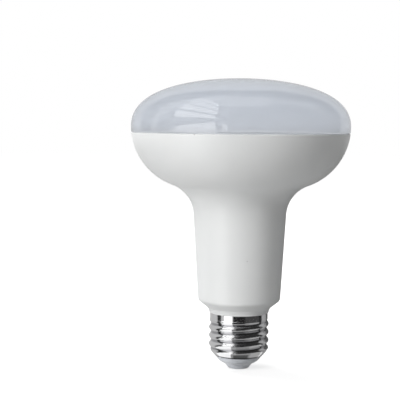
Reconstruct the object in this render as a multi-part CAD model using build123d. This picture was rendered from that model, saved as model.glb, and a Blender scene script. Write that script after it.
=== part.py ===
from build123d import *
import math
import os

# Reflector lamp standing on its screw cap: millimetres, heights measured up from the centre contact's face

# Diffuser: its widest ring stands above the seam, and the dome climbs from there to a nearly flat crown
widest_diameter = 95.0
widest_rise = 2.9
dome_height = 20.6
dome_climb = 16.2
dome_crown = 20.4

# Seam where the diffuser's spigot drops into the housing's rim
seam_height = 103.1
seam_groove = 0.3
rim_wall = 2.2
spigot_depth = 5.0
fit_clearance = 0.1

# Housing: bowl, flare, tapered neck and coned underside
bowl_radius = 27.1
flare_radius = 14.4
neck_foot_diameter = 35.9
neck_draft = 3.4
neck_corner_radius = 2.0
underside_rise = 3.3

# Collar at the foot of the housing, over the screw shell's rim
collar_height = 2.2
collar_flare = 0.75
collar_overhang = 0.4
collar_lip_height = 0.7
collar_lip_chamfer = 0.2

# Screw shell: plain rim, rolled round thread of the 27 mm size, rounded shoulder and a cone down to its mouth
shell_top_height = 24.8
shell_rim = 2.2
thread_diameter = 26.15
thread_depth = 0.9
thread_pitch = 3.629
thread_crest_height = 14.5
thread_fade = 2.6
thread_run_out = 1.0
sections_per_turn = 8
shoulder_height = 8.3
shoulder_radius = 3.5
cone_angle = 48.5
cone_wall = 0.9
root_wall = 0.4
mouth_diameter = 20.4
mouth_edge = 0.25

# Insulator: plug, curved skirt below the shell's mouth and tapered nub, with the contact riveted through
plug_rim = 0.35
skirt_curve = 6.0
nub_diameter = 12.2
nub_height = 2.4
nub_face_diameter = 9.0
nub_face_height = 0.25
nub_round = 0.5
contact_diameter = 6.4
contact_head = 0.8
contact_chamfer = 0.2
contact_stem_diameter = 2.4
contact_stem_length = 5.0

# Heights and radii that more than one piece takes
widest_height = seam_height + widest_rise
widest_radius = widest_diameter / 2
bowl_centre = (widest_radius - bowl_radius, widest_height)
thread_top_height = shell_top_height - shell_rim
thread_bottom_height = shoulder_height - thread_run_out
shell_mean_radius = (thread_diameter - thread_depth) / 2
bore_radius = thread_diameter / 2 - thread_depth - root_wall
plug_radius = bore_radius - fit_clearance
mouth_radius = mouth_diameter / 2
skirt_radius = mouth_radius - fit_clearance


def bowl_side(height):
    """Point at a height on the bowl's circle, which runs on past the seam to the widest ring."""
    return (bowl_centre[0] + math.sqrt(bowl_radius**2 - (widest_height - height) ** 2), height)


def cone_height(radius, inset=0):
    """Height at a radius on the outside of the shell's coned end, or on a cone set that far inside it."""
    slant = math.radians(cone_angle)
    return shoulder_height - (shell_mean_radius - radius) * math.tan(slant) + inset / math.cos(slant)


# Edges where the pieces meet
seam_radius = bowl_side(seam_height)[0]
seam_edge = (seam_radius - seam_groove, seam_height)
recess_radius = seam_radius - rim_wall
mouth_height = cone_height(mouth_radius + mouth_edge)
plug_seat_inset = cone_wall + fit_clearance
plug_top_height = cone_height(plug_radius, plug_seat_inset) + plug_rim


def turned(outline, rounds=()):
    """Round the listed corners of a closed outline of radius and height, then turn it about the axis."""
    face = make_face(outline)
    for corner, radius in rounds:
        face = fillet(face.vertices().sort_by_distance(corner)[0], radius)
    return revolve(Plane.XZ * face, Axis.Z)


def make_diffuser():
    """Opal dome: one smooth curve from the widest ring to the crown, over a spigot."""
    spigot_radius = recess_radius - fit_clearance
    spigot_foot = seam_height - spigot_depth
    side_foot = bowl_side(seam_height + seam_groove)
    widest = (widest_radius, widest_height)
    crown = (0, widest_height + dome_height)
    outline = [
        Polyline(crown, (0, spigot_foot), (spigot_radius, spigot_foot), (spigot_radius, seam_height)),
        Polyline((spigot_radius, seam_height), seam_edge, side_foot),
        RadiusArc(side_foot, widest, -bowl_radius),
        Bezier(widest, (widest_radius, widest_height + dome_climb), (dome_crown, crown[1]), crown),
    ]
    return turned(outline)


def make_housing():
    """One moulding: rim recess, bowl, flare, tapered neck, collar, and a spigot for the screw shell."""
    recess_floor = seam_height - spigot_depth - fit_clearance
    spigot_radius = bore_radius - fit_clearance
    spigot_foot = plug_top_height + fit_clearance
    lip_radius = shell_mean_radius + collar_overhang
    collar_top = shell_top_height + collar_height
    neck_foot = (neck_foot_diameter / 2, collar_top + underside_rise)
    neck_rise = (math.sin(math.radians(neck_draft)), math.cos(math.radians(neck_draft)))
    rim_side = bowl_side(seam_height - seam_groove)

    spigot = Polyline(
        (0, recess_floor),
        (0, spigot_foot),
        (spigot_radius, spigot_foot),
        (spigot_radius, shell_top_height),
        (lip_radius - collar_lip_chamfer, shell_top_height),
    )
    collar = Polyline(
        spigot @ 1,
        (lip_radius, shell_top_height + collar_lip_chamfer),
        (lip_radius, shell_top_height + collar_lip_height),
        (lip_radius + collar_flare, collar_top),
        neck_foot,
    )
    bowl_circle = CenterArc(bowl_centre, bowl_radius, 180, 180)
    neck = IntersectingLine(neck_foot, neck_rise, bowl_circle)
    bowl = RadiusArc(neck @ 1, rim_side, -bowl_radius)
    rim = Polyline(
        rim_side,
        seam_edge,
        (recess_radius, seam_height),
        (recess_radius, recess_floor),
        (0, recess_floor),
    )
    rounds = [(neck_foot, neck_corner_radius), (neck @ 1, flare_radius)]
    return turned([spigot, collar, neck, bowl, rim], rounds)


def shell_radius(height):
    """Mean outer radius of the shell: cone, rounded shoulder, then the straight wall."""
    slant = math.radians(cone_angle)
    tangent = shoulder_radius * math.tan((math.pi / 2 - slant) / 2)
    round_top = shoulder_height + tangent
    round_foot = shoulder_height - tangent * math.sin(slant)
    if height >= round_top:
        return shell_mean_radius
    if height >= round_foot:
        drop = round_top - height
        return shell_mean_radius - shoulder_radius + math.sqrt(shoulder_radius**2 - drop**2)
    return shell_mean_radius - (shoulder_height - height) / math.tan(slant)


def thread_swing(height):
    """How far the shell's section swings off the axis: half the depth, fading out at the thread's ends."""
    share = min(thread_top_height - height, height - thread_bottom_height, thread_fade) / thread_fade
    share = max(share, 0)
    return thread_depth / 2 * share**2 * (3 - 2 * share)


def shell_section(height):
    """A circle pushed towards the crest. Its direction turns once in a pitch, which rolls the thread."""
    turn = math.pi * (1 + 2 * (height - thread_crest_height) / thread_pitch)
    swing = thread_swing(height)
    return Pos(swing * math.cos(turn), swing * math.sin(turn), height) * Circle(shell_radius(height))


def make_screw_shell():
    """Rolled metal shell with a right-hand round thread that dies out into the rim and the shoulder."""
    shoulder = (shell_mean_radius, shoulder_height)
    blank = Polyline(
        (0, mouth_height),
        (mouth_radius + mouth_edge, mouth_height),
        shoulder,
        (shell_mean_radius, shell_top_height),
        (0, shell_top_height),
        close=True,
    )
    thread_length = thread_top_height - thread_bottom_height
    steps = math.ceil(thread_length / thread_pitch * sections_per_turn)
    heights = [thread_bottom_height + thread_length * i / steps for i in range(steps + 1)]
    thread = loft([shell_section(height) for height in heights])
    band = extrude(Pos(0, 0, thread_bottom_height) * Circle(thread_diameter), thread_length)
    bore = Polyline(
        (0, mouth_height),
        (mouth_radius, mouth_height),
        (mouth_radius, cone_height(mouth_radius, cone_wall)),
        (bore_radius, cone_height(bore_radius, cone_wall)),
        (bore_radius, shell_top_height),
        (0, shell_top_height),
        close=True,
    )
    plain_shell = turned(blank, [(shoulder, shoulder_radius)]) - band
    return plain_shell + thread - turned(bore)


def make_insulator():
    """Plug that seats on the inside of the shell's cone, with a skirt and a nub below its mouth."""
    pocket_radius = contact_diameter / 2 + fit_clearance
    pocket_top = contact_head + fit_clearance
    stem_hole_radius = contact_stem_diameter / 2 + fit_clearance
    stem_hole_top = contact_head + contact_stem_length + fit_clearance
    nub_face = (nub_face_diameter / 2, nub_face_height)
    inside = Polyline(
        (0, plug_top_height),
        (0, stem_hole_top),
        (stem_hole_radius, stem_hole_top),
        (stem_hole_radius, pocket_top),
        (pocket_radius, pocket_top),
        (pocket_radius, nub_face_height),
    )
    nub = Polyline(inside @ 1, nub_face, (nub_diameter / 2, nub_height))
    skirt = RadiusArc(nub @ 1, (skirt_radius, mouth_height), -skirt_curve)
    plug = Polyline(
        skirt @ 1,
        (skirt_radius, cone_height(skirt_radius, plug_seat_inset)),
        (plug_radius, cone_height(plug_radius, plug_seat_inset)),
        (plug_radius, plug_top_height),
        inside @ 0,
    )
    return turned([inside, nub, skirt, plug], [(nub_face, nub_round)])


def make_centre_contact():
    """Rivet: a flat head that meets the socket's spring, and a stem up through the insulator."""
    head_radius = contact_diameter / 2
    stem_radius = contact_stem_diameter / 2
    stem_top = contact_head + contact_stem_length
    outline = Polyline(
        (0, 0),
        (head_radius - contact_chamfer, 0),
        (head_radius, contact_chamfer),
        (head_radius, contact_head),
        (stem_radius, contact_head),
        (stem_radius, stem_top),
        (0, stem_top),
        close=True,
    )
    return turned(outline)


os.makedirs("parts", exist_ok=True)
export_step(make_diffuser(), "parts/diffuser.step")
export_step(make_housing(), "parts/housing.step")
export_step(make_screw_shell(), "parts/screw_shell.step")
export_step(make_insulator(), "parts/insulator.step")
export_step(make_centre_contact(), "parts/centre_contact.step")
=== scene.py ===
import math

import bmesh
import bpy
from mathutils import Matrix, Vector


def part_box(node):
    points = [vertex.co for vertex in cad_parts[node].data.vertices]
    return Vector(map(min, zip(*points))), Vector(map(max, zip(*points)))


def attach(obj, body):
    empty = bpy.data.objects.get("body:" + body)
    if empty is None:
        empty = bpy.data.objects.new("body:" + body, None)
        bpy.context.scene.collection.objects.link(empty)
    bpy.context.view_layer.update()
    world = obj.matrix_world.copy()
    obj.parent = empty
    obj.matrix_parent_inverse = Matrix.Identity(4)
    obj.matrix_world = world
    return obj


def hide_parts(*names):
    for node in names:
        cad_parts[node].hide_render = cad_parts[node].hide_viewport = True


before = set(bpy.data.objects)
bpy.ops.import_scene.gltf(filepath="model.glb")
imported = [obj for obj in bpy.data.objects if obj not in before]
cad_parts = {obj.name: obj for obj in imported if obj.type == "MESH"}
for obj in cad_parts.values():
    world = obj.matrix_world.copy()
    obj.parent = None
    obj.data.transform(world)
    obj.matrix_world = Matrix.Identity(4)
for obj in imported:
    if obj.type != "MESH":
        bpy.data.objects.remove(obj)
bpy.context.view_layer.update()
print("frame loaded:", ", ".join(sorted(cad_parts)))

scene = bpy.context.scene
scene.view_settings.view_transform = "Standard"
mm = 0.001  # every size below is in millimetres
turnSteps = 192  # points round each turned piece
cornerSteps = 6  # spans round each small corner
sharpAngle = 35  # degrees; an edge that bends more stays sharp
onAxis = 1e-6  # a ring narrower than this is one point


# a socket of a node tree, so that formulas can be written out
class Wire:
    def __init__(self, finish, socket):
        self.finish = finish
        self.socket = socket

    def maths(self, operation, first, second):
        return self.finish.node("Math", {"operation": operation}, {0: first, 1: second})

    def __add__(self, other):
        return self.maths("ADD", self, other)

    def __radd__(self, other):
        return self.maths("ADD", other, self)

    def __sub__(self, other):
        return self.maths("SUBTRACT", self, other)

    def __rsub__(self, other):
        return self.maths("SUBTRACT", other, self)

    def __mul__(self, other):
        return self.maths("MULTIPLY", self, other)

    def __rmul__(self, other):
        return self.maths("MULTIPLY", other, self)


# the node tree of one material, or of the world
class Finish:
    def __init__(self, owner):
        owner.use_nodes = True
        self.owner = owner
        self.tree = owner.node_tree
        self.tree.nodes.clear()

    # any node: its type, its settings, then what its sockets hold; colours are (red, green, blue)
    def node(self, kind, settings=None, sockets=None, out=0):
        made = self.tree.nodes.new("ShaderNode" + kind)
        for key, value in (settings or {}).items():
            setattr(made, key, value)
        for key, value in (sockets or {}).items():
            socket = made.inputs[key]
            if isinstance(value, Wire):
                self.tree.links.new(value.socket, socket)
            elif socket.type == "RGBA":
                socket.default_value = (*value, 1)
            else:
                socket.default_value = value
        return Wire(self, made.outputs[out]) if made.outputs else None

    # each part of a vector times its own share
    def times(self, vector, shares):
        return self.node("VectorMath", {"operation": "MULTIPLY"}, {0: vector, 1: shares})

    # object coordinates, in millimetres
    def place(self):
        return self.times(self.node("TexCoord", out="Object"), (1 / mm,) * 3)

    def height(self, place):
        return self.node("SeparateXYZ", None, {0: place}, "Z")

    # distance from the lamp's axis
    def fromAxis(self, place):
        flat = self.times(place, (1, 1, 0))
        return self.node("VectorMath", {"operation": "LENGTH"}, {0: flat}, "Value")

    # the scale is one number, or three for streaks that run one way
    def noise(self, place, scale, detail):
        if isinstance(scale, tuple):
            place, scale = self.times(place, scale), 1
        return self.node("TexNoise", None, {"Vector": place, "Scale": scale, "Detail": detail})

    # how far a noise swings to both sides of its middle
    def swing(self, noise, size):
        return (noise - 0.5) * size

    # 0 below low, 1 above high, smooth between
    def rise(self, value, low, high):
        return self.node("MapRange", {"interpolation_type": "SMOOTHSTEP"},
                         {"Value": value, "From Min": low, "From Max": high})

    def mixed(self, share, first, second):
        return self.node("Mix", {"data_type": "RGBA"}, {0: share, 6: first, 7: second}, 2)

    def bump(self, height, depth, strength=1.0):
        sockets = {"Strength": strength, "Distance": depth * mm, "Height": height}
        return self.node("Bump", None, sockets)

    def surface(self, shader):
        isWorld = isinstance(self.owner, bpy.types.World)
        self.node("OutputWorld" if isWorld else "OutputMaterial", None, {"Surface": shader})
        return self.owner


def newFinish(name):
    return Finish(bpy.data.materials.new(name))


# profiles: lists of (radius, height), run from the axis round to the axis

def arcPoints(centre, radius, fromAngle, toAngle, steps):
    angles = [fromAngle + (toAngle - fromAngle) * i / steps for i in range(steps + 1)]
    return [(centre[0] + radius * math.cos(a), centre[1] + radius * math.sin(a)) for a in angles]


# the short way round a circle from one of its points to another
def shortArc(centre, radius, first, last, steps):
    start, end = first - centre, last - centre
    angle = math.atan2(start.y, start.x)
    turn = math.remainder(math.atan2(end.y, end.x) - angle, 2 * math.pi)
    return arcPoints(centre, radius, angle, angle + turn, steps)


# an arc of that radius from one point to the next, bulging to the right of the way it runs
def arcBetween(first, last, radius, steps):
    chord = last - first
    inward = Vector((-chord.y, chord.x)).normalized()
    centre = (first + last) / 2 + inward * math.sqrt(radius**2 - chord.length_squared / 4)
    return shortArc(centre, radius, first, last, steps)


def bezierPoints(first, firstHandle, lastHandle, last, steps):
    ends = [Vector(p) for p in (first, firstHandle, lastHandle, last)]
    points = []
    for i in range(steps + 1):
        t = i / steps
        weights = ((1 - t) ** 3, 3 * t * (1 - t) ** 2, 3 * t * t * (1 - t), t**3)
        points.append(tuple(sum((end * w for end, w in zip(ends, weights)), Vector((0, 0)))))
    return points


# corners with a third number are rounded to that radius
def rounded(corners):
    profile = []
    for i, corner in enumerate(corners):
        here = Vector(corner[:2])
        if len(corner) == 2:
            profile.append(tuple(here))
            continue
        radius = corner[2]
        back = (Vector(corners[i - 1][:2]) - here).normalized()
        ahead = (Vector(corners[i + 1][:2]) - here).normalized()
        half = back.angle(ahead) / 2
        centre = here + (back + ahead).normalized() * radius / math.sin(half)
        first = here + back * radius / math.tan(half)
        last = here + ahead * radius / math.tan(half)
        profile += shortArc(centre, radius, first, last, cornerSteps)
    return profile


# extra points on the long straight runs, so that they shade evenly
def evened(profile, spacing):
    points = [profile[0]]
    for first, last in zip(profile, profile[1:]):
        steps = max(1, math.ceil(math.dist(first, last) / spacing))
        points += [(first[0] + (last[0] - first[0]) * i / steps,
                    first[1] + (last[1] - first[1]) * i / steps) for i in range(1, steps + 1)]
    return points


def newMesh(name, made):
    mesh = bpy.data.meshes.new(name)
    made.to_mesh(mesh)
    made.free()
    return mesh


def newPiece(name, mesh, material):
    piece = bpy.data.objects.new(name, mesh)
    scene.collection.objects.link(piece)
    mesh.materials.append(material)
    return piece


# rings are (radius, height) or (radius, height, x, y)
def ringMesh(name, rings):
    made = bmesh.new()
    angles = [2 * math.pi * i / turnSteps for i in range(turnSteps)]
    loops = []
    for radius, height, *shift in rings:
        x, y = shift or (0, 0)
        loops.append([
            made.verts.new(Vector((x + radius * math.cos(a), y + radius * math.sin(a), height)) * mm)
            for a in (angles if radius > onAxis else angles[:1])])
    for one, two in zip(loops, loops[1:]):
        for i in range(turnSteps):
            j = i + 1
            corners = [one[i % len(one)], one[j % len(one)], two[j % len(two)], two[i % len(two)]]
            made.faces.new(list(dict.fromkeys(corners)))
    bmesh.ops.recalc_face_normals(made, faces=made.faces)
    mesh = newMesh(name, made)
    mesh.shade_smooth()
    mesh.set_sharp_from_angle(angle=math.radians(sharpAngle))
    return mesh


def lampPiece(name, rings, node, material):
    piece = newPiece(name, ringMesh(name, rings), material)
    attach(piece, "root")
    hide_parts(node)
    print(name, len(piece.data.polygons), "faces")


# a point round the lamp; azimuth runs from the camera's side round to the right
def pointRound(azimuth, radius, height):
    a = math.radians(azimuth)
    return Vector((radius * math.sin(a), -radius * math.cos(a), height))


# radius, foot and top of a CAD node
def nodeSpan(node):
    low, high = (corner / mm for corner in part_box(node))
    return min(-low.x, high.x, -low.y, high.y), low.z, high.z


widestRadius, spigotFoot, crownHeight = nodeSpan("diffuser")
_, capSpigotFoot, seamHeight = nodeSpan("housing")
threadRadius, mouthHeight, shellTop = nodeSpan("screw_shell")
plugRadius, nubFace, plugTop = nodeSpan("insulator")
contactRadius, contactFace, stemTop = nodeSpan("centre_contact")

# sizes that more than one piece takes
shared = {
    "bowlRadius": 27.1, "widestRise": 2.9, "seamGroove": 0.3, "rimWall": 2.2,
    "clearance": 0.1, "threadDepth": 0.9,
}

# the bowl's circle runs on over the seam to the widest ring
widestHeight = seamHeight + shared["widestRise"]
bowlCentre = Vector((widestRadius - shared["bowlRadius"], widestHeight))


def bowlAngle(height):
    return math.asin((height - widestHeight) / shared["bowlRadius"])


def bowlArc(fromAngle, toAngle, steps):
    return arcPoints(bowlCentre, shared["bowlRadius"], fromAngle, toAngle, steps)


seamRadius = bowlCentre.x + shared["bowlRadius"] * math.cos(bowlAngle(seamHeight))
seamEdge = (seamRadius - shared["seamGroove"], seamHeight)
recessRadius = seamRadius - shared["rimWall"]
shellMeanRadius = threadRadius - shared["threadDepth"] / 2

# in the looks below, a noise is its scale for each millimetre and its detail

# opal dome of the diffuser

diffuserLook = {
    "crownHandle": 20.4, "sideHandle": 16.2, "edgeRound": 0.25,
    "domeSteps": 110, "sideSteps": 6, "spacing": 2.0,
    "colour": (0.90, 0.925, 0.96), "clouded": (0.88, 0.91, 0.95),
    "cloudNoise": (0.038, 3), "cloudRange": (0.35, 0.65), "roughness": 0.5,
    "glowThrough": (0.65, 0.665, 0.69), "throughShare": 0.94, "throughFrom": (-0.2, 0.05),
    "gloss": 0.01, "glossNoise": (0.16, 3), "glossSwing": 0.02, "index": 2.0,
    "rippleNoise": (0.055, 1), "rippleDepth": 0.004,
}


def diffuserRings():
    look = diffuserLook
    spigotRadius = recessRadius - shared["clearance"]
    dome = bezierPoints((0, crownHeight), (look["crownHandle"], crownHeight),
                        (widestRadius, widestHeight + look["sideHandle"]),
                        (widestRadius, widestHeight), look["domeSteps"])
    side = bowlArc(0, bowlAngle(seamHeight + shared["seamGroove"]), look["sideSteps"])
    seam = [(*side[-1], look["edgeRound"]), seamEdge, (spigotRadius, seamHeight)]
    spigot = [(spigotRadius, spigotFoot, look["edgeRound"]), (0, spigotFoot)]
    return evened(rounded(dome + side[1:-1] + seam + spigot), look["spacing"])


def opalFinish():
    look = diffuserLook
    f = newFinish("opalDiffuser")
    place = f.place()
    clouds = f.rise(f.noise(place, *look["cloudNoise"]), *look["cloudRange"])
    # the gloss is laid over this skin further down
    skin = f.node("BsdfPrincipled", None, {
        "Base Color": f.mixed(clouds, look["colour"], look["clouded"]),
        "Roughness": look["roughness"],
        "Specular IOR Level": 0.0,
    })
    # light that goes through the opal wall, and evens out inside the dome
    through = f.node("BsdfTranslucent", None, {"Color": look["glowThrough"]})
    # the spigot is backed by the housing, so light turns back there
    aboveSeam = f.rise(f.height(place) - seamHeight, *look["throughFrom"])
    opal = f.node("MixShader", None, {0: aboveSeam * look["throughShare"], 1: skin, 2: through})
    gloss = f.node("BsdfGlossy", None, {
        "Roughness": look["gloss"] + f.noise(place, *look["glossNoise"]) * look["glossSwing"],
        "Normal": f.bump(f.noise(place, *look["rippleNoise"]), look["rippleDepth"]),
    })
    # only the outside is polished
    outside = 1 - f.node("NewGeometry", out="Backfacing")
    mirror = outside * f.node("Fresnel", None, {"IOR": look["index"]})
    return f.surface(f.node("MixShader", None, {0: mirror, 1: opal, 2: gloss}))


lampPiece("opal_dome", diffuserRings(), "diffuser", opalFinish())

# white moulded housing

housingLook = {
    "flareRadius": 14.4, "neckFootRadius": 17.95, "neckDraft": 3.4, "neckCorner": 2.0,
    "undersideRise": 3.3, "collarHeight": 2.2, "collarFlare": 0.75, "collarRound": 0.35,
    "collarOverhang": 0.4, "lipHeight": 0.7, "lipTopRound": 0.3, "lipRound": 0.3, "rimRound": 0.25,
    "bowlSteps": 44, "flareSteps": 26, "spacing": 1.2,
    "colour": (0.845, 0.855, 0.85), "shaded": (0.82, 0.832, 0.83),
    "mottleNoise": (0.042, 3), "mottleRange": (0.3, 0.7),
    "roughness": 0.40, "patchNoise": (0.21, 3), "patchSwing": 0.08, "index": 1.48,
    "grainNoise": (2.6, 2), "grainDepth": 0.012, "grainStrength": 0.5,
    # the seam darkening is painted shade; the specks are dirt
    "dirtAndShadeColour": (0.30, 0.29, 0.27), "seamShade": 0.35, "seamShadeReach": (0.05, 0.3),
    "specks": ((-22.8, 102.75, 0.22, 0.8), (10.0, 49.4, 0.28, 0.4)),  # azimuth, height, radius, share
    "speckEdge": (0.45, 1.3),  # from and to, in a speck's radii
}


def housingProfile():
    look = housingLook
    recessFloor = spigotFoot - shared["clearance"]
    lipRadius = shellMeanRadius + look["collarOverhang"]
    collarTop = shellTop + look["collarHeight"]
    neckFoot = Vector((look["neckFootRadius"], collarTop + look["undersideRise"]))
    draft = math.radians(look["neckDraft"])
    neckUp = Vector((math.sin(draft), math.cos(draft)))
    neckOut = Vector((math.cos(draft), -math.sin(draft)))
    # the flare's circle touches the neck's line and the outside of the bowl's circle
    offset = neckFoot + neckOut * look["flareRadius"] - bowlCentre
    along = offset.dot(neckUp)
    reach = shared["bowlRadius"] + look["flareRadius"]
    climb = -along - math.sqrt(along**2 - offset.length_squared + reach**2)
    flareCentre = bowlCentre + offset + neckUp * climb
    toBowl = bowlCentre - flareCentre
    flareTop = math.atan2(toBowl.y, toBowl.x)
    flareFoot = math.pi - draft
    flare = arcPoints(flareCentre, look["flareRadius"], flareTop, flareFoot, look["flareSteps"])
    bowlFoot = math.atan2(-toBowl.y, -toBowl.x)
    side = bowlArc(bowlAngle(seamHeight - shared["seamGroove"]), bowlFoot, look["bowlSteps"])
    recess = [(0, recessFloor), (recessRadius, recessFloor), (recessRadius, seamHeight)]
    rim = [seamEdge, (*side[0], look["rimRound"])]
    collar = [(*neckFoot, look["neckCorner"]),
              (lipRadius + look["collarFlare"], collarTop, look["collarRound"]),
              (lipRadius, shellTop + look["lipHeight"], look["lipTopRound"]),
              (lipRadius, shellTop, look["lipRound"])]
    # the spigot in the shell is as wide as the insulator's plug
    spigot = [(plugRadius, shellTop), (plugRadius, capSpigotFoot), (0, capSpigotFoot)]
    return evened(rounded(recess + rim + side[1:] + flare[1:] + collar + spigot), look["spacing"])


housingRings = housingProfile()


# outer radius of the housing at a height, for what sits on its skin
def housingSkin(height):
    runs = zip(housingRings, housingRings[1:])
    (r0, h0), (r1, h1) = next(run for run in runs if run[0][1] >= height > run[1][1])
    return r0 + (r1 - r0) * (h0 - height) / (h0 - h1)


def satinFinish():
    look = housingLook
    f = newFinish("satinWhite")
    place = f.place()
    mottle = f.rise(f.noise(place, *look["mottleNoise"]), *look["mottleRange"])
    colour = f.mixed(mottle, look["colour"], look["shaded"])
    # painted shade along the seam, and the two dirt specks
    dirtAndShade = look["seamShade"] * (1 - f.rise(seamHeight - f.height(place), *look["seamShadeReach"]))
    for azimuth, height, radius, share in look["specks"]:
        spot = pointRound(azimuth, housingSkin(height), height)
        away = f.node("VectorMath", {"operation": "DISTANCE"}, {0: place, 1: spot}, "Value")
        dirtAndShade = dirtAndShade + share * (1 - f.rise(away, *(radius * edge for edge in look["speckEdge"])))
    patches = f.noise(place, *look["patchNoise"])
    grain = f.noise(place, *look["grainNoise"])
    shader = f.node("BsdfPrincipled", None, {
        "Base Color": f.mixed(dirtAndShade, colour, look["dirtAndShadeColour"]),
        "Roughness": look["roughness"] + f.swing(patches, look["patchSwing"]),
        "Normal": f.bump(grain, look["grainDepth"], look["grainStrength"]),
        "IOR": look["index"],
    })
    return f.surface(shader)


lampPiece("white_housing", housingRings, "housing", satinFinish())

# nickel screw shell

shellLook = {
    "rim": 2.2, "pitch": 3.629, "crestHeight": 14.5, "fade": 2.6, "runOut": 1.0,
    "shoulderHeight": 8.3, "shoulderRadius": 3.5, "coneAngle": 48.5,
    "rootWall": 0.4, "coneWall": 0.9, "mouthEdge": 0.25, "ringSpacing": 0.13,
    "colour": (0.80, 0.80, 0.81), "tarnish": (0.60, 0.60, 0.61),
    "filmNoise": (0.13, 4), "filmRange": (0.42, 0.72), "stainShare": 0.35,
    # the darkening in the thread's roots is painted shade in the base colour
    "rootShadeColour": (0.27, 0.27, 0.29), "rootShadeBand": 0.4, "rootShadeShare": 0.7, "rootShadeFrom": 1.2,
    # the dark line at the mouth is a painted shadow in the base colour
    "mouthShadowColour": (0.05, 0.05, 0.055), "mouthShadowReach": (0.35, 0.84), "mouthShadowShare": 0.95,
    "roughness": 0.11, "streakNoise": ((0.18, 0.18, 0.9), 3),
    "streakRoughness": 0.05, "stainRoughness": 0.08,
    "rollNoise": ((0.025, 0.025, 5.2), 3), "rollDepth": 0.002, "rollStrength": 0.35,
}
shellSlant = math.radians(shellLook["coneAngle"])


# mean radius of the shell: straight wall, rounded shoulder, cone
def shellRadiusAt(height):
    shoulder, bend = shellLook["shoulderHeight"], shellLook["shoulderRadius"]
    tangent = bend * math.tan((math.pi / 2 - shellSlant) / 2)
    if height >= shoulder + tangent:
        return shellMeanRadius
    if height >= shoulder - tangent * math.sin(shellSlant):
        return shellMeanRadius - bend + math.sqrt(bend**2 - (shoulder + tangent - height) ** 2)
    return shellMeanRadius - (shoulder - height) / math.tan(shellSlant)


# the section swings towards the crest, which goes round once in a pitch
def shellRing(height):
    look = shellLook
    toTop = shellTop - look["rim"] - height
    toFoot = height - look["shoulderHeight"] + look["runOut"]
    share = max(0, min(toTop, toFoot, look["fade"]) / look["fade"])
    swing = shared["threadDepth"] / 2 * share**2 * (3 - 2 * share)
    turn = math.pi * (1 + 2 * (height - look["crestHeight"]) / look["pitch"])
    return (shellRadiusAt(height), height, swing * math.cos(turn), swing * math.sin(turn))


# height on the inside of the shell's cone
def coneInside(radius):
    drop = (shellMeanRadius - radius) * math.tan(shellSlant)
    return shellLook["shoulderHeight"] - drop + shellLook["coneWall"] / math.cos(shellSlant)


rootRadius = threadRadius - shared["threadDepth"]
mouthRadius = shellRadiusAt(mouthHeight) - shellLook["mouthEdge"]


def shellRings():
    boreRadius = rootRadius - shellLook["rootWall"]
    length = shellTop - mouthHeight
    steps = math.ceil(length / shellLook["ringSpacing"])
    skin = [shellRing(shellTop - length * i / steps) for i in range(steps + 1)]
    inside = [(mouthRadius, mouthHeight), (mouthRadius, coneInside(mouthRadius)),
              (boreRadius, coneInside(boreRadius)), (boreRadius, shellTop)]
    return skin + inside + skin[:1]


def nickelFinish():
    look = shellLook
    f = newFinish("nickelShell")
    place = f.place()
    height = f.height(place)
    stain = f.rise(f.noise(place, *look["filmNoise"]), *look["filmRange"]) * look["stainShare"]
    plated = f.mixed(stain, look["colour"], look["tarnish"])
    # painted shade in the thread's roots, but not on the cone below them
    aboveCone = f.rise(height - look["shoulderHeight"], 0, look["rootShadeFrom"])
    rootShade = aboveCone * (1 - f.rise(f.fromAxis(place) - rootRadius, 0, look["rootShadeBand"]))
    plated = f.mixed(rootShade * look["rootShadeShare"], plated, look["rootShadeColour"])
    # painted shadow line where the mouth closes on the insulator
    mouthShadowLine = look["mouthShadowShare"] * (1 - f.rise(height - mouthHeight, *look["mouthShadowReach"]))
    streaks = f.noise(place, *look["streakNoise"])
    dulled = streaks * look["streakRoughness"] + stain * look["stainRoughness"]
    rollLines = f.noise(place, *look["rollNoise"])
    shader = f.node("BsdfPrincipled", None, {
        "Base Color": f.mixed(mouthShadowLine, plated, look["mouthShadowColour"]),
        "Metallic": 1.0,
        "Roughness": look["roughness"] + dulled,
        "Normal": f.bump(rollLines, look["rollDepth"], look["rollStrength"]),
    })
    return f.surface(shader)


lampPiece("nickel_shell", shellRings(), "screw_shell", nickelFinish())

# insulator: plug, skirt and nub

insulatorLook = {
    "skirtCurve": 6.0, "skirtSteps": 16, "nubRadius": 6.1, "nubHeight": 2.4,
    "nubFaceRadius": 4.5, "nubRound": 0.5, "plugRim": 0.35, "spacing": 0.8,
    "pocketRadius": 3.3, "pocketRound": 0.1, "pocketTop": 0.9,
    "stemHoleRadius": 1.3, "stemHoleTop": 5.9,
    "colour": (0.86, 0.885, 0.93), "flecked": (0.80, 0.825, 0.87),
    "fleckNoise": (0.9, 3), "fleckRange": (0.45, 0.75),
    "roughness": 0.34, "fleckSwing": 0.1, "index": 1.52,
    "skinNoise": (1.5, 2), "skinDepth": 0.02, "skinStrength": 0.4,
}


def insulatorRings():
    look = insulatorLook
    skirtRadius = mouthRadius - shared["clearance"]
    plugFoot = plugTop - look["plugRim"]
    seatFoot = plugFoot - (plugRadius - skirtRadius) * math.tan(shellSlant)
    nubTop = Vector((look["nubRadius"], look["nubHeight"]))
    skirtTop = Vector((skirtRadius, mouthHeight))
    skirt = arcBetween(nubTop, skirtTop, look["skirtCurve"], look["skirtSteps"])
    stemHole = [(0, look["stemHoleTop"]), (look["stemHoleRadius"], look["stemHoleTop"]),
                (look["stemHoleRadius"], look["pocketTop"])]
    pocket = [(look["pocketRadius"], look["pocketTop"]),
              (look["pocketRadius"], nubFace, look["pocketRound"])]
    nub = [(look["nubFaceRadius"], nubFace, look["nubRound"])]
    plug = [(skirtRadius, seatFoot), (plugRadius, plugFoot), (plugRadius, plugTop), (0, plugTop)]
    return evened(rounded(stemHole + pocket + nub + skirt + plug), look["spacing"])


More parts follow.
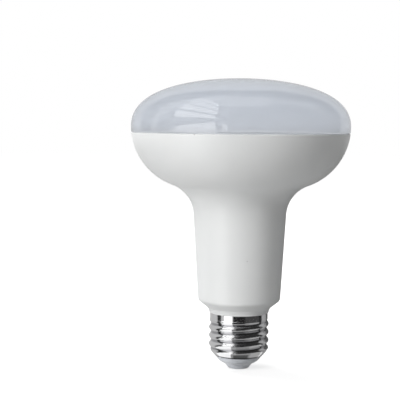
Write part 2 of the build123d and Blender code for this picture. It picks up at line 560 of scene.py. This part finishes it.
def insulatorFinish():
    look = insulatorLook
    f = newFinish("capInsulator")
    place = f.place()
    flecks = f.noise(place, *look["fleckNoise"])
    skin = f.noise(place, *look["skinNoise"])
    fleckShare = f.rise(flecks, *look["fleckRange"])
    shader = f.node("BsdfPrincipled", None, {
        "Base Color": f.mixed(fleckShare, look["colour"], look["flecked"]),
        "Roughness": look["roughness"] + f.swing(flecks, look["fleckSwing"]),
        "Normal": f.bump(skin, look["skinDepth"], look["skinStrength"]),
        "IOR": look["index"],
    })
    return f.surface(shader)


lampPiece("cap_insulator", insulatorRings(), "insulator", insulatorFinish())

# centre contact

contactLook = {
    "head": 0.8, "headRound": 0.3, "stemRadius": 1.2, "stemRound": 0.15, "spacing": 0.5,
    "colour": (0.62, 0.61, 0.59), "worn": (0.45, 0.44, 0.42),
    "wearNoise": (1.1, 4), "wearRange": (0.4, 0.7), "roughness": 0.32, "wearSwing": 0.2,
    "markNoise": ((9.0, 0.4, 0), 2), "markDepth": 0.01, "markStrength": 0.4,
}


def contactRings():
    look = contactLook
    head = [(0, contactFace), (contactRadius, contactFace, look["headRound"]),
            (contactRadius, look["head"])]
    stem = [(look["stemRadius"], look["head"]), (look["stemRadius"], stemTop, look["stemRound"]),
            (0, stemTop)]
    return evened(rounded(head + stem), look["spacing"])


def contactFinish():
    look = contactLook
    f = newFinish("contactMetal")
    place = f.place()
    # turning marks run round the axis
    section = f.node("CombineXYZ", None, {0: f.fromAxis(place), 1: f.height(place)})
    marks = f.noise(section, *look["markNoise"])
    wear = f.noise(place, *look["wearNoise"])
    wornShare = f.rise(wear, *look["wearRange"])
    shader = f.node("BsdfPrincipled", None, {
        "Base Color": f.mixed(wornShare, look["colour"], look["worn"]),
        "Metallic": 1.0,
        "Roughness": look["roughness"] + f.swing(wear, look["wearSwing"]),
        "Normal": f.bump(marks, look["markDepth"], look["markStrength"]),
    })
    return f.surface(shader)


lampPiece("centre_rivet", contactRings(), "centre_contact", contactFinish())

# studio: a white floor and world, a slatted softbox on the left, and cards that the lamp mirrors

studio = {
    "worldFill": 0.02, "floorRadius": 3000.0, "floorTone": 0.45,
    "floorGlow": 0.72, "glowReach": (60.0, 260.0),
    "slatDistance": 1000, "bandDistance": 1080, "cardDistance": 1100, "ceilingDistance": 1150,
    "ceilingEdge": 70, "overheadEdge": 55, "wedgeLift": 0.2, "cardSteps": 12, "wedgeSteps": 16,
    # how bright the lights are
    "softKey": 9.6, "frontHigh": 2.6, "backLeft": 8.0, "backRight": 1.4, "overhead": 1.3,
    "floorBounce": 0.72,
    # how bright the cards are that the lamp mirrors
    "keyLow": 1.8, "keyMiddle": 1.8, "keyHigh": 1.5, "keyNarrow": 1.5,
    "flag": 0.03, "keyBox": 0.15, "sideLeft": 0.6, "sideRight": 0.4,
    "backPanel": 0.65, "darkBand": 0.09, "upperBack": 0.6, "upperRight": 0.4,
    "frontBlack": 0.02, "rightBlack": 0.065, "footGrey": 0.09, "nearGrey": 0.3, "paleGrey": 0.42,
    "backGrey": 0.32, "leftGrey": 0.57, "shadeGrey": 0.6, "capFlag": 0.11,
}
white = (1, 1, 1)


# 1 for the rays that see the background itself or its mirror image
def seenDirectly(f):
    rays = ["Is Camera Ray", "Is Glossy Ray", "Is Transmission Ray"]
    camera, glossy, through = (f.node("LightPath", out=ray) for ray in rays)
    return f.node("Clamp", None, {0: camera + glossy + through})


def studioWorld():
    world = bpy.data.worlds.new("studioWhite")
    scene.world = world
    f = Finish(world)
    fill = f.node("Background", None, {"Color": white, "Strength": studio["worldFill"]})
    seen = f.node("Background", None, {"Color": white, "Strength": 1.0})
    f.surface(f.node("MixShader", None, {0: seenDirectly(f), 1: fill, 2: seen}))


def floorFinish():
    f = newFinish("paleFloor")
    board = f.node("BsdfDiffuse", None, {"Color": (studio["floorTone"],) * 3})
    # the glow grows away from the lamp: its shadow stays, and the far floor meets the white behind
    away = f.rise(f.fromAxis(f.place()), *studio["glowReach"])
    glow = f.node("Emission", None, {"Color": f.mixed(away, (studio["floorGlow"],) * 3, white)})
    glowing = f.node("AddShader", None, {0: board, 1: glow})
    floor = f.surface(f.node("MixShader", None, {0: seenDirectly(f), 1: board, 2: glowing}))
    floor.cycles.emission_sampling = "NONE"
    return floor


def cardFinish(name, mirrored):
    if name not in bpy.data.materials:
        f = newFinish(name)
        card = f.surface(f.node("Emission", None, {"Strength": studio[name]}))
        # lamp rays aim only at the lights, which keeps the noise down
        card.cycles.emission_sampling = "NONE" if mirrored else "AUTO"
    return bpy.data.materials[name]


def stagePiece(name, mesh, material):
    piece = newPiece(name, mesh, material)
    return piece


def gridMesh(name, rows):
    made = bmesh.new()
    grid = [[made.verts.new(point * mm) for point in row] for row in rows]
    for low, high in zip(grid, grid[1:]):
        for i in range(len(low) - 1):
            made.faces.new([low[i], high[i], high[i + 1], low[i + 1]])
    return newMesh(name, made)


# some cards are only mirrored, the others only light the lamp
def stageCard(name, light, rows, mirrored):
    card = stagePiece(name, gridMesh(name, rows), cardFinish(light, mirrored))
    card.visible_camera = False
    card.visible_glossy = mirrored
    card.visible_diffuse = not mirrored
    card.visible_transmission = not mirrored
    return card


def towards(azimuth, elevation):
    e = math.radians(elevation)
    return pointRound(azimuth, math.cos(e), math.sin(e))


# a curved card round the dome; its corners are (azimuth, elevation), from the left foot over the head;
# a level one follows those angles, another runs straight between its corners
def studioCard(name, light, corners, distance, level=True, mirrored=True):
    steps = studio["cardSteps"]
    middle = Vector((0, 0, widestHeight))
    rows = []
    for i in range(steps + 1):
        row = []
        for j in range(steps + 1):
            u, v = i / steps, j / steps
            shares = ((1 - u) * (1 - v), (1 - u) * v, u * v, u * (1 - v))
            if level:
                way = towards(*(sum(c[k] * s for c, s in zip(corners, shares)) for k in (0, 1)))
            else:
                way = sum((towards(*c) * s for c, s in zip(corners, shares)), Vector()).normalized()
            row.append(middle + way * distance)
        rows.append(row)
    stageCard(name, light, rows, mirrored)


# a strip of card round the lamp between two edges, each (radius, height)
def floorStrip(name, light, azimuths, edges, mirrored=True):
    steps = studio["wedgeSteps"]
    first, last = azimuths
    turns = [first + (last - first) * i / steps for i in range(steps + 1)]
    rows = [[pointRound(turn, radius, height) for turn in turns] for radius, height in edges]
    strip = stageCard(name, light, rows, mirrored)
    strip.visible_shadow = False


# the softbox's slats, fanned as the dome mirrors them
keySlats = {
    "slat_low": ("keyLow", ((-74, -6), (-63, 2), (-25, 13), (-25, -6))),
    "slat_middle": ("keyMiddle", ((-75, 25), (-88, 44), (-29, 35), (-26, 26))),
    "slat_upper": ("keyMiddle", ((-90, 47), (-106, 57), (-30, 49), (-27, 39))),
    "slat_high": ("keyHigh", ((-110, 58), (-127, 61), (-41, 65), (-31, 53))),
    "slat_top": ("keyHigh", ((-130, 61), (-139, 62), (-60, 74), (-44, 67))),
    "slat_narrow": ("keyNarrow", ((-18, -6), (-18, 8), (-13, 8), (-13, -6))),
}

# a flag beside the slats
slatFlags = {
    "flag_left": ("flag", ((-94, -6), (-94, 22), (-76, 22), (-76, -6))),
}

# what the dome and the metal mirror all round
mirroredCards = {
    "flag_front": ("flag", ((-12, -6), (-12, 72), (100, 72), (100, -6))),
    "key_box": ("keyBox", ((-94, -6), (-94, 72), (-12, 72), (-12, -6))),
    "side_left": ("sideLeft", ((-118, -6), (-118, 14), (-94, 72), (-94, -6))),
    "side_right": ("sideRight", ((100, -6), (100, 72), (118, 14), (118, -6))),
    "panel_left": ("backPanel", ((-180, -6), (-180, 58), (-120, 16), (-120, -6))),
    "panel_right": ("backPanel", ((120, -6), (120, 16), (180, 58), (180, -6))),
    "upper_left": ("upperBack", ((-180, 62), (-180, 72), (-94, 72), (-118, 14))),
    "upper_right": ("upperRight", ((118, 14), (100, 72), (180, 72), (180, 62))),
}

# outer and inner edge of the dark band in the dome, from the back to the right; the left repeats it
bandEdges = (
    ((180, 52), (180, 72)), ((160, 42), (138, 62)), ((145, 32), (125, 45)),
    ((134, 22), (107, 30)), ((124, 8), (103, 12)), ((121, -6), (103, -6)),
)

# soft lights that nothing mirrors
softLights = {
    "soft_key": ("softKey", ((-55, -6), (-55, 25), (-32, 25), (-32, -6))),
    "front_high": ("frontHigh", ((-45, 25), (-45, 55), (20, 55), (20, 25))),
    "back_left": ("backLeft", ((-150, 25), (-150, 55), (-110, 55), (-110, 25))),
    "back_right": ("backRight", ((120, 5), (120, 40), (165, 40), (165, 5))),
}

# grey wedges on the floor, from the front round to the right and to the left: azimuths, then radii
floorTones = {
    "wedge_foot": ("footGrey", (-18, 34), (6, 13)),
    "wedge_foot_left": ("nearGrey", (-27, -18), (6, 13)),
    "wedge_foot_right": ("nearGrey", (34, 40), (6, 13)),
    "wedge_step": ("paleGrey", (-24, -8), (13, 32)),
    "wedge_near": ("nearGrey", (-8, 40), (13, 32)),
    "wedge_gap": ("nearGrey", (24, 40), (32, 48)),
    "wedge_front": ("frontBlack", (-24, 24), (32, 700)),
    "wedge_right": ("rightBlack", (24, 85), (48, 700)),
    "wedge_crescent": ("paleGrey", (40, 88), (6, 48)),
    "wedge_edge": ("frontBlack", (85, 99), (20, 700)),
    "wedge_back": ("backGrey", (99, 137), (6, 700)),
    "wedge_far": ("rightBlack", (137, 180), (6, 700)),
    "wedge_left": ("leftGrey", (-180, -90.5), (6, 700)),
    "wedge_line": ("frontBlack", (-90.5, -72), (20, 700)),
    "wedge_shade": ("shadeGrey", (-72, -58), (32, 700)),
}

# low walls for the cap to mirror: azimuths, radius, height
capWalls = {
    "cap_flag": ("capFlag", (120, 180), 160, 75),
    "cap_side_right": ("sideRight", (99, 120), 100, 90),
    "cap_side_left": ("sideLeft", (-180, -98), 100, 90),
}

# light from the floor: azimuths, then radii
floorLights = {
    "floor_bounce": ("floorBounce", (-130, 10), (25, 600)),
}


def mirroredBand(side, sign):
    for i, (first, last) in enumerate(zip(bandEdges, bandEdges[1:])):
        corners = [(sign * azimuth, elevation) for azimuth, elevation in (*first, *reversed(last))]
        studioCard(f"band_{side}_{i}", "darkBand", corners, studio["bandDistance"])


# corners of a card that closes the top from that elevation up
def overTop(elevation):
    return [(azimuth, elevation) for azimuth in (-90, -180, 90, 0)]


def buildStudio():
    near, lift = studio["slatDistance"], studio["wedgeLift"]
    studioWorld()
    stagePiece("floor", ringMesh("floor", [(0, 0), (studio["floorRadius"], 0)]), floorFinish())
    for name, (light, corners) in keySlats.items():
        studioCard(name, light, corners, near, level=False)
    for name, (light, corners) in slatFlags.items():
        studioCard(name, light, corners, near)
    for name, (light, corners) in mirroredCards.items():
        studioCard(name, light, corners, studio["cardDistance"])
    mirroredBand("left", -1)
    mirroredBand("right", 1)
    ceiling = overTop(studio["ceilingEdge"])
    studioCard("ceiling", "upperBack", ceiling, studio["ceilingDistance"], level=False)
    for name, (light, corners) in softLights.items():
        studioCard(name, light, corners, near, mirrored=False)
    overhead = overTop(studio["overheadEdge"])
    studioCard("overhead", "overhead", overhead, near, level=False, mirrored=False)
    for name, (light, azimuths, radii) in floorTones.items():
        floorStrip(name, light, azimuths, [(radius, lift) for radius in radii])
    for name, (light, azimuths, radius, top) in capWalls.items():
        floorStrip(name, light, azimuths, [(radius, lift), (radius, top)])
    for name, (light, azimuths, radii) in floorLights.items():
        floorStrip(name, light, azimuths, [(radius, lift) for radius in radii], mirrored=False)


buildStudio()
print("studio set")

# camera at the photograph's angle

view = {
    "lens": 101.7, "sensor": 36.0, "place": (0, -491.25, 108.9),
    "yaw": 2.03, "pitch": 4.09, "roll": 0.42,
}


def lampCamera():
    cameraData = bpy.data.cameras.new("lampCamera")
    cameraData.lens = view["lens"]
    cameraData.sensor_width = view["sensor"]
    camera = bpy.data.objects.new("lampCamera", cameraData)
    scene.collection.objects.link(camera)
    yaw, pitch, roll = (math.radians(view[key]) for key in ("yaw", "pitch", "roll"))
    camera.matrix_world = (
        Matrix.Translation(Vector(view["place"]) * mm)
        @ Matrix.Rotation(yaw, 4, "Z")
        @ Matrix.Rotation(math.pi / 2 - pitch, 4, "X")
        @ Matrix.Rotation(roll, 4, "Z")
    )
    scene.camera = camera


lampCamera()
print("camera set")
